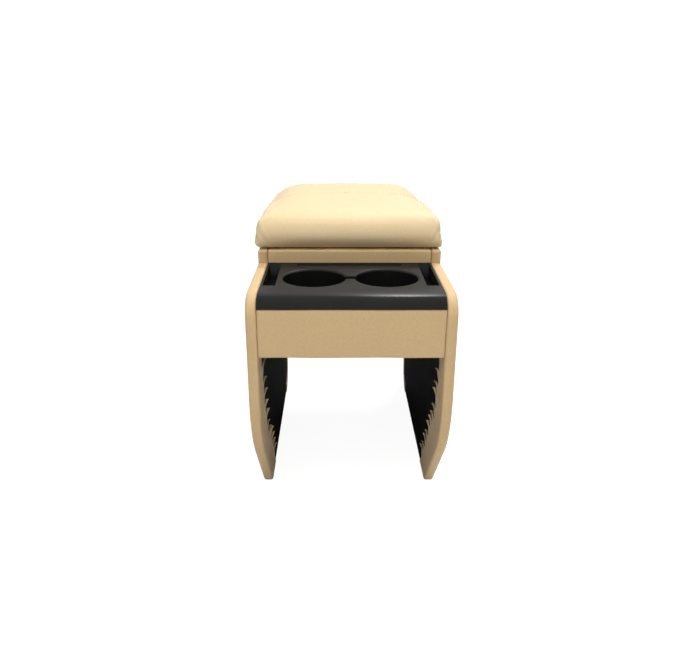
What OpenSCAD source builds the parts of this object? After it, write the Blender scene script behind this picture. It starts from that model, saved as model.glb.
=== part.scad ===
// Car centre armrest: two leather-covered side panels straddle the car's console and carry
// a box between them, with a moulded two-cup tray in front and a padded, hinged lid over a
// storage bin behind it.
// X runs across, Y from the front to the rear and Z up. The origin lies under the middle of
// the whole armrest, on the plane that the side panels stand on. Lengths called "f" are
// measured back from the front edge of the side panels.

/* [Overall] */
// Width over both covered side panels
body_w = 212; // [190:1:250]
// Length of the side panels from front to rear
body_l = 396; // [360:1:450]
// Height of the cup deck above the bottom edges
deck_h = 274; // [242:1:300]
// Rise of the side panels behind the tray
step_h = 14.5; // [8:0.5:20]
// Depth of the box below the cup deck
box_depth = 64.5; // [54:0.5:76]
// Distance from the front edge to the cross wall
wall_f = 133.6; // [126:0.2:150]

/* [Boards and leather] */
// Thickness of the boards
board_t = 9; // [7:0.5:11]
// Thickness of the leather and of the felt
skin_t = 1.2; // [0.8:0.1:1.6]
// Setback of the front panel from the side panels' front edge
front_setback = 1; // [0.4:0.1:2]
// Width of leather turned under the box at its front and rear
under_hem = 15; // [8:1:24]
// Width of leather turned down inside the top edges
top_hem = 14; // [9:1:18]

/* [Side panel outline] */
// Radius of the top front corner
brow_r = 24; // [12:1:32]
// Height at which the front edge begins to sweep back
sweep_z = 162; // [147:1:174]
// Radius of the sweep
sweep_r = 120; // [100:1:140]
// Angle from upright at which the sweep runs out to the toe
sweep_angle = 41; // [34:1:44]
// Radius of the toe
toe_r = 14; // [8:1:18]
// Radius of the lower rear corner
heel_r = 40; // [12:1:48]
// Radius of the upper rear corner
crest_r = 5; // [3:0.5:8]

/* [Hem on the inner faces] */
// Width of leather turned in along the swept front edge
hem_w = 34; // [26:1:42]
// Depth of the uncut hem below the cup deck
hem_plain = 100; // [90:1:112]
// Distance between the cuts of the hem
tooth_pitch = 17; // [14:0.5:22]
// Length of the longest hem tongue
tooth_len = 13; // [8:0.5:16]
// How far a tongue leans back up the edge
tooth_lean = 7; // [3:0.5:10]
// Angle between the lengths of following tongues in their rhythm
tooth_rhythm = 137; // [100:1:160]

/* [Cup tray] */
// Wall thickness of the moulding
tray_t = 2.4; // [1.8:0.1:3]
// Play between the tray and the box
tray_fit = 0.3; // [0.2:0.05:0.5]
// Height of the tray's front lip
lip_h = 12.5; // [9:0.5:14]
// Radius of the rounded front edge
nose_r = 18; // [15:1:22]
// Setback of the front lip
lip_f = 0.8; // [0.4:0.1:1.6]
// Radius of a cup well
cup_r = 33.5; // [30:0.5:35]
// Distance of a cup well from the middle
cup_x = 39; // [37.5:0.5:40]
// Distance of the cup wells from the front edge
cup_f = 72; // [66:1:78]
// Rounding of a cup well's mouth
mouth_r = 2.4; // [1:0.1:2.8]
// Width of the channel between the wells
channel_w = 11; // [8:0.5:16]
// Depth of the channel between the wells
channel_d = 14; // [10:0.5:20]
// Width of a side pocket
pocket_w = 13.4; // [8:0.2:13.6]
// Distance of the side pockets from the front edge
pocket_f = 42; // [36:1:60]
// Depth of the side pockets
pocket_d = 20; // [10:0.5:26]
// Width of the finger slot at the rear
slot_w = 120; // [90:1:130]
// Length of the finger slot, front to rear
slot_l = 11; // [8:0.5:14]
// Depth of the finger slot
slot_d = 9; // [7:0.5:14]

/* [Lid] */
// Width of the padded lid
lid_w = 215; // [190:1:254]
// Overhang of the lid past the cross wall
lid_over = 2; // [0:0.5:4]
// Height of the lid at its crown
lid_h = 40.6; // [34:0.2:46]
// Fall of the crown from the middle to the sides
crown_h = 4; // [3:0.5:8]
// Radius of the lid's shoulders
shoulder_r = 10; // [8:1:16]
// Radius of the padded front edge
pad_nose_r = 23; // [14:1:24]
// Radius of the padded rear edge
pad_tail_r = 26; // [16:1:27]
// Radius of the lid's lower edges at the sides and the rear
pad_edge_r = 5; // [3:0.5:6]
// Radius of the lid's lower front edge
pad_chin_r = 16; // [8:0.5:17]
// Radius of the lid's rear corners, seen from above
pad_corner_r = 42; // [30:1:46]
// Radius of the lid's front corners, seen from above
pad_front_r = 9; // [5:1:14]
// Width of cover turned under the lid
lid_hem = 22; // [17:1:30]
// Gap between the closed lid and the box
lid_gap = 0.3; // [0.2:0.05:0.6]

/* [Hinge] */
// Length of the strip hinge
hinge_l = 180; // [150:1:186]
// Width of a hinge leaf
leaf_w = 11.5; // [10:0.5:14]
// Thickness of a hinge leaf
leaf_t = 0.8; // [0.6:0.05:1]
// Gap between the folded leaves
leaf_gap = 0.2; // [0.1:0.05:0.3]
// Radius of a knuckle
knuckle_r = 2.5; // [2.2:0.1:3]
// Gap round a knuckle and at its ends
knuckle_gap = 0.3; // [0.2:0.05:0.4]
// Radius of the hinge pin
pin_r = 1.1; // [0.8:0.05:1.2]
// Radial play of the hinge pin
pin_play = 0.05; // [0.02:0.01:0.08]
// Number of knuckles
knuckles = 9; // [5:2:13]
// Screws in each leaf
leaf_screws = 4; // [3:1:5]
// Distance of the outer screws from the ends of the leaf
screw_inset = 16; // [13:1:20]
// Radius of a screw's shank
screw_r = 1.2; // [0.9:0.05:1.3]
// Length of a screw under its head
screw_l = 8; // [6:0.5:9]

/* [Nails] */
// Radius of the nails that hold the box together
nail_r = 0.8; // [0.6:0.05:1]
// Length of a nail
nail_l = 30; // [24:1:36]
// Distance of the outer nails from a board's edges
nail_inset = 12; // [9:1:14]
// Radial play of a nail or screw in its hole
hole_play = 0.02; // [0.01:0.01:0.04]

/* [Hidden] */
$fn = 96;

leather = [0.78, 0.65, 0.48];
leather_dark = [0.66, 0.54, 0.40];
black_board = [0.07, 0.07, 0.08];
plain_board = [0.62, 0.48, 0.32];
black_plastic = [0.16, 0.17, 0.18];
felt = [0.10, 0.10, 0.11];
foam = [0.85, 0.80, 0.62];
steel = [0.66, 0.67, 0.68];

over = 1; // reach of a cut past a face

half_w = body_w / 2;
bare_x = half_w - skin_t - board_t;
box_x = bare_x - skin_t;
top_z = deck_h + step_h;
box_z = deck_h - box_depth;
board_z = box_z + skin_t;
floor_top = board_z + board_t;
panel_f = front_setback + skin_t;
panel_back = panel_f + board_t;
cross_f = wall_f + skin_t;
cross_back = cross_f + board_t;
rear_out = body_l - skin_t;
rear_f = rear_out - board_t;

lid_z = top_z + lid_gap;
lid_f = wall_f - lid_over;
lid_top = lid_z + lid_h;
pin_z = lid_z - leaf_t - leaf_gap / 2;
pin_f = body_l + knuckle_gap + knuckle_r;
rear_top = pin_z - leaf_gap / 2 - leaf_t;
mid_f = (pin_f + knuckle_r) / 2;

lip_z = deck_h - lip_h;
tray_x = box_x - tray_fit;
tray_back = wall_f - tray_fit;
nose_f = lip_f + sqrt(nose_r * nose_r - pow(nose_r - lip_h, 2));
pocket_x = tray_x - tray_t - pocket_w;

// Moves a shape drawn in "f" into the armrest's own frame
module place() translate([0, -mid_f, 0]) children();

// Extrudes a side-view outline, drawn as f and z, from x0 over a width w
module across(x0, w) translate([x0, 0, 0]) rotate([90, 0, 90]) linear_extrude(w) children();

module block(x0, x1, f0, f1, z0, z1) translate([x0, f0, z0]) cube([x1 - x0, f1 - f0, z1 - z0]);

module both_sides() {
    children();
    mirror([1, 0, 0]) children();
}

// What a rounding of radius r takes off a corner whose edges leave it along to_a and to_b
module round_off(corner, to_a, to_b, r) {
    half = acos(to_a * to_b) / 2;
    reach = r / tan(half);
    middle = (to_a + to_b) / norm(to_a + to_b);
    centre = corner + middle * r / sin(half);
    difference() {
        polygon([corner, corner + reach * to_a, centre, corner + reach * to_b]);
        translate(centre) circle(r = r);
    }
}

// The same for a square corner that points along [sx, sy]
module corner_cut(at, r, sx, sy) round_off(at, [-sx, 0], [0, -sy], r);

// Side panel outline
// The front edge drops straight, sweeps back on an arc and runs straight to the toe.
// "front", "top" and "base" say how far those edges lie inside the covered outline.
sweep_c = [sweep_r, sweep_z];
down_sweep = [sin(sweep_angle), -cos(sweep_angle)];

function knee_at(front) = [front, sweep_z - (sweep_r - front) * tan(sweep_angle / 2)];
function sweep_end(front) = sweep_c - (sweep_r - front) * [cos(sweep_angle), sin(sweep_angle)];
function toe_at(front, base) =
    let (end = sweep_end(front))
    [end[0] + (end[1] - base) * tan(sweep_angle), base];

module raw_outline(front, top, base) {
    difference() {
        polygon([
            [front, deck_h - top], knee_at(front), toe_at(front, base), [body_l - top, base],
            [body_l - top, top_z - top], [wall_f + top, top_z - top], [wall_f + top, deck_h - top],
        ]);
        round_off(knee_at(front), [0, 1], down_sweep, sweep_r - front);
    }
}

module panel_outline(inset) {
    difference() {
        raw_outline(inset, inset, inset);
        corner_cut([inset, deck_h - inset], brow_r - inset, -1, 1);
        corner_cut([body_l - inset, top_z - inset], crest_r - inset, 1, 1);
        corner_cut([body_l - inset, inset], heel_r - inset, 1, -1);
        round_off(toe_at(inset, inset), -down_sweep, [1, 0], toe_r - inset);
    }
}

hem_end_f = toe_at(hem_w, 0)[0];

// The board stands bare on its bottom edge, behind the leather that is turned under the toe
module board_outline() {
    panel_outline(skin_t);
    translate([hem_end_f, 0]) square([body_l - heel_r - hem_end_f, 2 * skin_t]);
}

// The uneven tongues that the hem was cut into, so that it lies flat round the sweep
hem_r = sweep_r - hem_w;
hem_drop = sweep_z - (deck_h - hem_plain);
hem_top_z = max(deck_h - hem_plain, sweep_z);
arc_l = hem_r * sweep_angle * PI / 180;
straight_l = hem_top_z - sweep_z;
run_l = sweep_end(hem_w)[1] / cos(sweep_angle);
teeth = floor((straight_l + arc_l + run_l) / tooth_pitch);

function hem_turn(s) = max(0, min(sweep_angle, (s - straight_l) / hem_r * 180 / PI));
function hem_at(s) =
    s < straight_l ? [hem_w, hem_top_z - s] :
    s < straight_l + arc_l ?
        sweep_c - hem_r * [cos(hem_turn(s)), sin(hem_turn(s))] :
        sweep_end(hem_w) + (s - straight_l - arc_l) * down_sweep;

module tongue(i) {
    s = i * tooth_pitch;
    turn = hem_turn(s + tooth_pitch / 2);
    along = [sin(turn), -cos(turn)];
    inward = [cos(turn), sin(turn)];
    reach = tooth_len * (0.75 + 0.25 * sin(i * tooth_rhythm));
    polygon([
        hem_at(s) - skin_t * inward,
        hem_at(s) + reach * inward - tooth_lean * along,
        hem_at(s + tooth_pitch * 0.45) + reach * 0.35 * inward,
        hem_at(s + tooth_pitch) - skin_t * inward,
    ]);
}

module hem_outline() {
    difference() {
        panel_outline(0);
        raw_outline(hem_w, top_hem, -over);
    }
    intersection() {
        panel_outline(0);
        union() for (i = [0 : teeth - 1]) tongue(i);
    }
}

// Nails, driven through the side panels into the ends of the boards between them
function upright_nails(f, top) = [for (z = [floor_top + nail_inset, top - skin_t - nail_inset]) [f, z]];
floor_nails_apart = (rear_f - panel_back - 2 * nail_inset) / 3;
nail_spots = concat(
    upright_nails(panel_f + board_t / 2, lip_z),
    upright_nails(cross_f + board_t / 2, top_z),
    upright_nails(rear_f + board_t / 2, rear_top),
    [for (k = [0 : 3]) [panel_back + nail_inset + k * floor_nails_apart, board_z + board_t / 2]]
);

module nails(play) {
    both_sides()
        for (at = nail_spots)
            translate([half_w - skin_t - nail_l, at[0], at[1]]) rotate([0, 90, 0])
                cylinder(r = nail_r + play, h = nail_l);
}

// Hinge screws, pointing down into the rear panel or up into the lid board
screw_f = body_l - skin_t - board_t / 2;
screw_step = (hinge_l - 2 * screw_inset) / (leaf_screws - 1);
head_r = screw_r + leaf_t;

module leaf_screw(play) {
    translate([0, 0, -leaf_t]) cylinder(r1 = screw_r + play, r2 = head_r + play, h = leaf_t);
    translate([0, 0, -leaf_t - screw_l]) cylinder(r = screw_r + play, h = screw_l + leaf_t / 2);
}

module leaf_screw_row() {
    for (k = [0 : leaf_screws - 1])
        translate([-hinge_l / 2 + screw_inset + k * screw_step, screw_f, 0]) children();
}

module box_screws(play) translate([0, 0, pin_z - leaf_gap / 2]) leaf_screw_row() leaf_screw(play);
module lid_screws(play) {
    translate([0, 0, pin_z + leaf_gap / 2]) leaf_screw_row() mirror([0, 0, 1]) leaf_screw(play);
}

// Side panels and their leather
module side_board() {
    difference() {
        across(bare_x, board_t) board_outline();
        nails(hole_play);
    }
}

module side_leather() {
    across(half_w - skin_t, skin_t) panel_outline(0);
    across(bare_x, board_t) difference() {
        panel_outline(0);
        board_outline();
        translate([hem_end_f, -over]) square([body_l - heel_r - hem_end_f, skin_t + over]);
    }
    difference() {
        across(box_x, skin_t) hem_outline();
        nails(hole_play);
    }
}

module side_panel_left() color(black_board) place() mirror([1, 0, 0]) side_board();
module side_panel_right() color(black_board) place() side_board();
module side_cover_left() color(leather) place() mirror([1, 0, 0]) side_leather();
module side_cover_right() color(leather) place() side_leather();

// Boards between the side panels
module front_panel() {
    color(plain_board) place() difference() {
        block(-box_x, box_x, panel_f, panel_back, board_z, lip_z - skin_t);
        nails(hole_play);
    }
}

module front_cover() {
    color(leather) place() {
        block(-box_x, box_x, front_setback, panel_f, box_z, lip_z);
        block(-box_x, box_x, panel_f, panel_back, lip_z - skin_t, lip_z);
        block(-box_x, box_x, panel_f, panel_back + under_hem, box_z, board_z);
    }
}

module cross_wall() {
    color(plain_board) place() difference() {
        block(-box_x, box_x, cross_f, cross_back, floor_top, top_z - skin_t);
        nails(hole_play);
    }
}

module cross_wall_cover() {
    color(leather_dark) place() {
        block(-box_x, box_x, wall_f, cross_f, lip_z - top_hem, top_z);
        block(-box_x, box_x, cross_f, cross_back, top_z - skin_t, top_z);
        block(-box_x, box_x, cross_back, cross_back + skin_t, top_z - top_hem, top_z);
    }
}

module rear_panel() {
    color(plain_board) place() difference() {
        block(-box_x, box_x, rear_f, rear_out, board_z, rear_top - skin_t);
        nails(hole_play);
        box_screws(hole_play);
    }
}

module rear_cover() {
    color(leather) place() difference() {
        union() {
            block(-box_x, box_x, rear_out, body_l, box_z, rear_top);
            block(-box_x, box_x, rear_f, rear_out, rear_top - skin_t, rear_top);
            block(-box_x, box_x, rear_f - skin_t, rear_f, top_z - top_hem, rear_top);
            block(-box_x, box_x, rear_f - under_hem, rear_out, box_z, board_z);
        }
        box_screws(hole_play);
    }
}

module box_floor() {
    color(black_board) place() difference() {
        block(-box_x, box_x, panel_back, rear_f, board_z, floor_top);
        nails(hole_play);
    }
}

// Felt glued to the floor and walls of the storage bin, up to the turned-in leather
module bin_lining() {
    color(felt) place() difference() {
        union() {
            block(-box_x, box_x, cross_back, rear_f, floor_top, top_z - top_hem);
            block(-bare_x, bare_x, wall_f + top_hem, body_l - top_hem, floor_top, top_z - top_hem);
        }
        block(-box_x, box_x, cross_back + skin_t, rear_f - skin_t, floor_top + skin_t, top_z);
    }
}

// Cup tray, one moulding
module tray_side(shrink) {
    base = lip_z - (shrink > 0 ? over : 0);
    translate([nose_f, base]) square([tray_back - shrink - nose_f, deck_h - shrink - base]);
    intersection() {
        translate([nose_f, deck_h - nose_r]) circle(r = nose_r - shrink);
        translate([0, base]) square([nose_f + over, deck_h - base]);
    }
}

module well(x, grow, base) {
    top = deck_h + (grow > 0 ? -tray_t / 2 : over);
    translate([x, cup_f, base]) cylinder(r = cup_r + grow, h = top - base);
}

module well_mouth(x) {
    translate([x, cup_f, deck_h]) rotate_extrude() difference() {
        translate([cup_r - over, -mouth_r]) square([mouth_r + over, mouth_r + over]);
        translate([cup_r + mouth_r, -mouth_r]) circle(r = mouth_r);
    }
}

module tray_pocket(x0, x1, f0, f1, depth, grow) {
    top = deck_h + (grow > 0 ? -tray_t / 2 : over);
    block(x0 - grow, x1 + grow, f0 - grow, f1 + grow, deck_h - depth - grow, top);
}

module pockets(grow) {
    both_sides() tray_pocket(pocket_x, tray_x - tray_t, pocket_f, tray_back - tray_t, pocket_d, grow);
    tray_pocket(-slot_w / 2, slot_w / 2, tray_back - tray_t - slot_l, tray_back - tray_t, slot_d, grow);
    tray_pocket(-cup_x, cup_x, cup_f - channel_w / 2, cup_f + channel_w / 2, channel_d, grow);
}

module cup_tray() {
    color(black_plastic) place() difference() {
        union() {
            difference() {
                across(-tray_x, 2 * tray_x) tray_side(0);
                across(-tray_x + tray_t, 2 * (tray_x - tray_t)) tray_side(tray_t);
            }
            pockets(tray_t);
            for (x = [-cup_x, cup_x]) well(x, tray_t, floor_top);
        }
        pockets(0);
        for (x = [-cup_x, cup_x]) well(x, 0, floor_top + tray_t);
        for (x = [-cup_x, cup_x]) well_mouth(x);
    }
}

module box_nails() color(steel) place() nails(0);

// Strip hinge
knuckle_step = hinge_l / knuckles;
leaf_z = pin_z + leaf_gap / 2;

module knuckle(k) {
    x0 = -hinge_l / 2 + k * knuckle_step + (k == 0 ? 0 : knuckle_gap / 2);
    x1 = -hinge_l / 2 + (k + 1) * knuckle_step - (k == knuckles - 1 ? 0 : knuckle_gap / 2);
    translate([x0, pin_f, pin_z]) rotate([0, 90, 0]) cylinder(r = knuckle_r, h = x1 - x0);
    block(x0, x1, body_l - over, pin_f, leaf_z, leaf_z + leaf_t);
}

// A leaf lies above the pin's level. The box leaf is the same shape turned over.
module leaf(first) {
    difference() {
        union() {
            block(-hinge_l / 2, hinge_l / 2, body_l - leaf_w, body_l, leaf_z, leaf_z + leaf_t);
            for (k = [first : 2 : knuckles - 1]) knuckle(k);
        }
        translate([-hinge_l / 2 - over, pin_f, pin_z]) rotate([0, 90, 0])
            cylinder(r = pin_r + pin_play, h = hinge_l + 2 * over);
    }
}

module turned_over() translate([0, 0, 2 * pin_z]) mirror([0, 0, 1]) children();

module hinge_box_leaf() {
    color(steel) place() difference() {
        turned_over() leaf(0);
        box_screws(hole_play);
    }
}

module hinge_lid_leaf() {
    color(steel) place() difference() {
        leaf(1);
        lid_screws(hole_play);
    }
}

module hinge_pin() {
    color(steel) place() translate([-hinge_l / 2, pin_f, pin_z]) rotate([0, 90, 0])
        cylinder(r = pin_r, h = hinge_l);
}

module hinge_box_screws() color(steel) place() box_screws(0);
module hinge_lid_screws() color(steel) place() lid_screws(0);

// Lid
// The pad's form is where its side view, its front view and its plan meet.
module pad_side(inset) {
    z0 = lid_z + inset;
    z1 = lid_top - inset;
    difference() {
        translate([lid_f + inset, z0]) square([body_l - lid_f - 2 * inset, z1 - z0]);
        corner_cut([lid_f + inset, z1], pad_nose_r - inset, -1, 1);
        corner_cut([body_l - inset, z1], pad_tail_r - inset, 1, 1);
        corner_cut([lid_f + inset, z0], pad_chin_r - inset, -1, -1);
        corner_cut([body_l - inset, z0], pad_edge_r - inset, 1, -1);
    }
}

// The shoulders are arcs that meet the crown's arc and the sides without a kink
half_lid = lid_w / 2;
crown_r = (half_lid * half_lid + crown_h * crown_h) / (2 * crown_h);
shoulder_x = half_lid - shoulder_r;
shoulder_z = lid_top - crown_r + sqrt(pow(crown_r - shoulder_r, 2) - shoulder_x * shoulder_x);
tangent_x = shoulder_x * crown_r / (crown_r - shoulder_r);

module pad_front(inset) {
    z0 = lid_z + inset;
    w = half_lid - inset;
    difference() {
        union() {
            intersection() {
                translate([0, lid_top - crown_r]) circle(r = crown_r - inset, $fn = 720);
                translate([-tangent_x, z0]) square([2 * tangent_x, lid_h]);
            }
            for (side = [-1, 1])
                translate([side * shoulder_x, shoulder_z]) circle(r = shoulder_r - inset);
            translate([-w, z0]) square([2 * w, shoulder_z - z0]);
        }
        for (side = [-1, 1]) corner_cut([side * w, z0], pad_edge_r - inset, side, -1);
    }
}

module pad_plan(inset) {
    w = half_lid - inset;
    f0 = lid_f + inset;
    f1 = body_l - inset;
    difference() {
        translate([-w, f0]) square([2 * w, f1 - f0]);
        for (side = [-1, 1]) {
            corner_cut([side * w, f0], pad_front_r - inset, side, -1);
            corner_cut([side * w, f1], pad_corner_r - inset, side, 1);
        }
    }
}

module pad(inset) {
    intersection() {
        across(-half_lid, lid_w) pad_side(inset);
        translate([0, body_l, 0]) rotate([90, 0, 0]) linear_extrude(body_l - lid_f) pad_front(inset);
        translate([0, 0, lid_z]) linear_extrude(lid_h) pad_plan(inset);
    }
}

foam_z = lid_z + skin_t + board_t;

module pad_slab(z0, z1) {
    intersection() {
        pad(skin_t);
        block(-half_lid, half_lid, lid_f, body_l, z0, z1);
    }
}

module lining_block(grow) {
    block(-half_lid + lid_hem, half_lid - lid_hem, lid_f + lid_hem, body_l - lid_hem, lid_z - grow, lid_z + skin_t);
}

module lid_board() {
    color(plain_board) place() difference() {
        pad_slab(lid_z, foam_z);
        lid_screws(hole_play);
    }
}

module lid_foam() color(foam) place() pad_slab(foam_z, lid_top);

module lid_cover() {
    color(leather) place() difference() {
        pad(0);
        pad(skin_t);
        lining_block(over);
        lid_screws(hole_play);
    }
}

module lid_lining() color(felt) place() lining_block(0);

side_panel_left();
side_panel_right();
side_cover_left();
side_cover_right();
front_panel();
front_cover();
cross_wall();
cross_wall_cover();
rear_panel();
rear_cover();
box_floor();
bin_lining();
cup_tray();
box_nails();
hinge_box_leaf();
hinge_pin();
hinge_box_screws();
lid_board();
lid_foam();
lid_cover();
lid_lining();
hinge_lid_leaf();
hinge_lid_screws();
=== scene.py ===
# %% [markdown]
# A car centre armrest: two leather-covered boards that straddle the console, a shallow box with
# a moulded cup tray between them, and a padded lid on a strip hinge.
# The CAD model is the frame of this scene. It gives the sizes and places of every piece, and this
# script dresses it: boards and metal keep their solids and get finishes, while the leather, the
# padding and the tray get meshes with the soft edges that a solid leaves out.

# %% Load the frame
import math

import bmesh
import bpy
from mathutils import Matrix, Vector, noise
from mathutils.bvhtree import BVHTree


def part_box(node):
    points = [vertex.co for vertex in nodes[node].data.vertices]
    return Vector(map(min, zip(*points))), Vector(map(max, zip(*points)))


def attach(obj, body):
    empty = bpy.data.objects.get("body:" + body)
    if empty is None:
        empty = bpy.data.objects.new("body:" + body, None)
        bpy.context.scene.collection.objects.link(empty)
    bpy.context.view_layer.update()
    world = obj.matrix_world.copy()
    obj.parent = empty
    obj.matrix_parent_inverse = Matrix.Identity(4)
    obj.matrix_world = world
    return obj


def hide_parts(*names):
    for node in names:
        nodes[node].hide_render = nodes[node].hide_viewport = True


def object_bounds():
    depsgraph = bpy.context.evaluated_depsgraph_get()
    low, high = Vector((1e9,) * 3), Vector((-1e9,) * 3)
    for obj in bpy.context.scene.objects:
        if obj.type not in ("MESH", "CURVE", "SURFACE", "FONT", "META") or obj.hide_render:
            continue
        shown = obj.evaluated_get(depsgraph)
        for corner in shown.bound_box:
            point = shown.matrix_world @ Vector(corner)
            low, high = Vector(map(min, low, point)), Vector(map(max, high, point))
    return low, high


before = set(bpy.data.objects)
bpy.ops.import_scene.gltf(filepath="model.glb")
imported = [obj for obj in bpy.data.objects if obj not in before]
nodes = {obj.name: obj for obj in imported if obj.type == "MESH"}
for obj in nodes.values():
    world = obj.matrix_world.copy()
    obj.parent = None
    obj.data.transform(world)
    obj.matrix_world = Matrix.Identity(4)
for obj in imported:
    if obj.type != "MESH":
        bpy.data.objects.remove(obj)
cad_low, cad_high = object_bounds()
MM = 0.001
print("CAD box in mm:", [round(c / MM, 1) for c in (*cad_low, *cad_high)])

# %% [markdown]
# The photograph was taken from in front and a little above. A camera is set by where it stands,
# how far it looks down and how long its lens is. A focal length of 680 pixels on a picture
# 673 pixels wide becomes a lens in millimetres by the width of the sensor.

# %% Camera
PICTURE_WIDTH = 673
FOCAL_PIXELS = 680
SENSOR_WIDTH = 36
LOOKS_DOWN = 20.8
STANDS_LEFT = 15 * MM
STANDS_BEFORE = 632.4 * MM
STANDS_ABOVE_DECK = 204.2 * MM

panel_low, panel_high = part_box("side_cover_right")
deck_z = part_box("cup_tray")[1][2]
front_y = panel_low[1]

camera_data = bpy.data.cameras.new("camera")
camera_data.sensor_width = SENSOR_WIDTH
camera_data.lens = FOCAL_PIXELS / PICTURE_WIDTH * SENSOR_WIDTH
camera = bpy.data.objects.new("camera", camera_data)
camera.location = (-STANDS_LEFT, front_y - STANDS_BEFORE, deck_z + STANDS_ABOVE_DECK)
camera.rotation_euler = (math.radians(90 - LOOKS_DOWN), 0, 0)
bpy.context.collection.objects.link(camera)
bpy.context.scene.camera = camera

# %% [markdown]
# Shader maths reads best as plain expressions. `Wire` wraps a socket and turns each operator into
# a Math node, also where a number comes first, as in `1 - mask`. `Finish` holds one material and
# adds any other node by its type, its settings and what feeds its sockets.


# %% Shader helper
# The Mix node has sockets for each kind of value, and these are the ones for colours.
MIX_LOW = 6
MIX_HIGH = 7
MIX_RESULT = 2


class Wire:
    """A socket in a material. Sums and products of wires and numbers add Math nodes."""

    def __init__(self, finish, socket):
        self.finish = finish
        self.socket = socket

    def math(self, operation, *values):
        feeds = dict(enumerate(values))
        return self.finish.wire("ShaderNodeMath", {"operation": operation}, feeds)

    def __add__(self, other):
        return self.math("ADD", self, other)

    def __radd__(self, other):
        return self.math("ADD", other, self)

    def __sub__(self, other):
        return self.math("SUBTRACT", self, other)

    def __rsub__(self, other):
        return self.math("SUBTRACT", other, self)

    def __mul__(self, other):
        return self.math("MULTIPLY", self, other)

    def __rmul__(self, other):
        return self.math("MULTIPLY", other, self)

    def __truediv__(self, other):
        return self.math("DIVIDE", self, other)

    def clamp(self):
        return self.math("MINIMUM", self.math("MAXIMUM", self, 0.0), 1.0)


class Finish:
    """One material: its node tree, its surface shader and a short way to add nodes."""

    def __init__(self, name):
        self.material = bpy.data.materials.new(name)
        self.material.use_nodes = True
        self.tree = self.material.node_tree
        self.shader = self.tree.nodes["Principled BSDF"]
        self.place = self.wire("ShaderNodeTexCoord", output="Object")

    def node(self, kind, settings=None, feeds=None, stops=None):
        made = self.tree.nodes.new(kind)
        for key, value in (settings or {}).items():
            setattr(made, key, value)
        if stops:
            ramp = made.color_ramp
            while len(ramp.elements) < len(stops):
                ramp.elements.new(0.5)
            for element, (at, colour) in zip(ramp.elements, stops):
                element.position = at
                element.color = (*colour, 1)
        for key, value in (feeds or {}).items():
            self.feed(made.inputs[key], value)
        return made

    def wire(self, kind, settings=None, feeds=None, output=0, stops=None):
        return Wire(self, self.node(kind, settings, feeds, stops).outputs[output])

    def feed(self, socket, value):
        if isinstance(value, Wire):
            self.tree.links.new(value.socket, socket)
        else:
            socket.default_value = value

    def mix(self, factor, low, high):
        """A colour between low and high."""
        made = self.node("ShaderNodeMix", {"data_type": "RGBA"})
        self.feed(made.inputs["Factor"], factor)
        self.feed(made.inputs[MIX_LOW], low if isinstance(low, Wire) else (*low, 1))
        self.feed(made.inputs[MIX_HIGH], high if isinstance(high, Wire) else (*high, 1))
        return Wire(self, made.outputs[MIX_RESULT])

    def clouds(self, per_metre, detail=3.0, stretch=(1, 1, 1)):
        """Soft noise from 0 to 1, with that many swells to the metre."""
        scale = [s * per_metre for s in stretch]
        spot = self.wire("ShaderNodeMapping", feeds={"Vector": self.place, "Scale": scale})
        return self.wire("ShaderNodeTexNoise", feeds={"Vector": spot, "Scale": 1.0, "Detail": detail})

    def cells(self, per_metre, feature="DISTANCE_TO_EDGE"):
        """Grain in cells: the distance to a cell's edge, or its middle."""
        feeds = {"Vector": self.place, "Scale": per_metre}
        return self.wire("ShaderNodeTexVoronoi", {"feature": feature}, feeds)

    def bump(self, height, strength, depth, under=None):
        """Raises the surface by depth (metres) where height is 1."""
        feeds = {"Height": height, "Strength": strength, "Distance": depth}
        if under:
            feeds["Normal"] = under
        return self.wire("ShaderNodeBump", feeds=feeds)

    def paint(self, **values):
        for name, value in values.items():
            self.feed(self.shader.inputs[name.replace("_", " ")], value)
        return self.material


# %% [markdown]
# Leatherette is a vinyl skin pressed with a fine pebble grain. Up close the pebbles are about a
# millimetre across, with darker valleys between them, and over the whole sheet the tone drifts a
# little where it was stretched. Two sizes of cells make the grain, and slow noise makes the drift.


# %% Leather finish
PEBBLES_PER_METRE = 820
FINE_PER_METRE = 2100
PEBBLE_SHARE = 0.75
VALLEY_SHADE = 0.86
SLACK_DEPTH = 0.9 * MM
GRAIN_DEPTH = 0.16 * MM


def leather_finish(name, light, dark, roughness=0.5):
    skin = Finish(name)
    pebbles = (skin.cells(PEBBLES_PER_METRE) * 3.2).clamp()
    fine = (skin.cells(FINE_PER_METRE) * 2.6).clamp()
    grain = pebbles * PEBBLE_SHARE + fine * (1 - PEBBLE_SHARE)
    drift = skin.clouds(16, 4.0)
    stretch = skin.clouds(55, 3.0)
    valley = [c * VALLEY_SHADE for c in dark]
    tone = skin.mix((drift * 0.8 + stretch * 0.35 - 0.1).clamp(), dark, light)
    colour = skin.mix((grain * 1.1).clamp(), valley, tone)
    slack = skin.bump(skin.clouds(38, 2.0), 0.35, SLACK_DEPTH)
    relief = skin.bump(grain, 0.55, GRAIN_DEPTH, slack)
    dullness = roughness + 0.14 * (1 - grain) + 0.10 * (drift - 0.5)
    skin.paint(Base_Color=colour, Roughness=dullness, Normal=relief)
    skin.shader.inputs["Specular IOR Level"].default_value = 0.42
    skin.shader.inputs["Sheen Weight"].default_value = 0.08
    return skin.material


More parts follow.
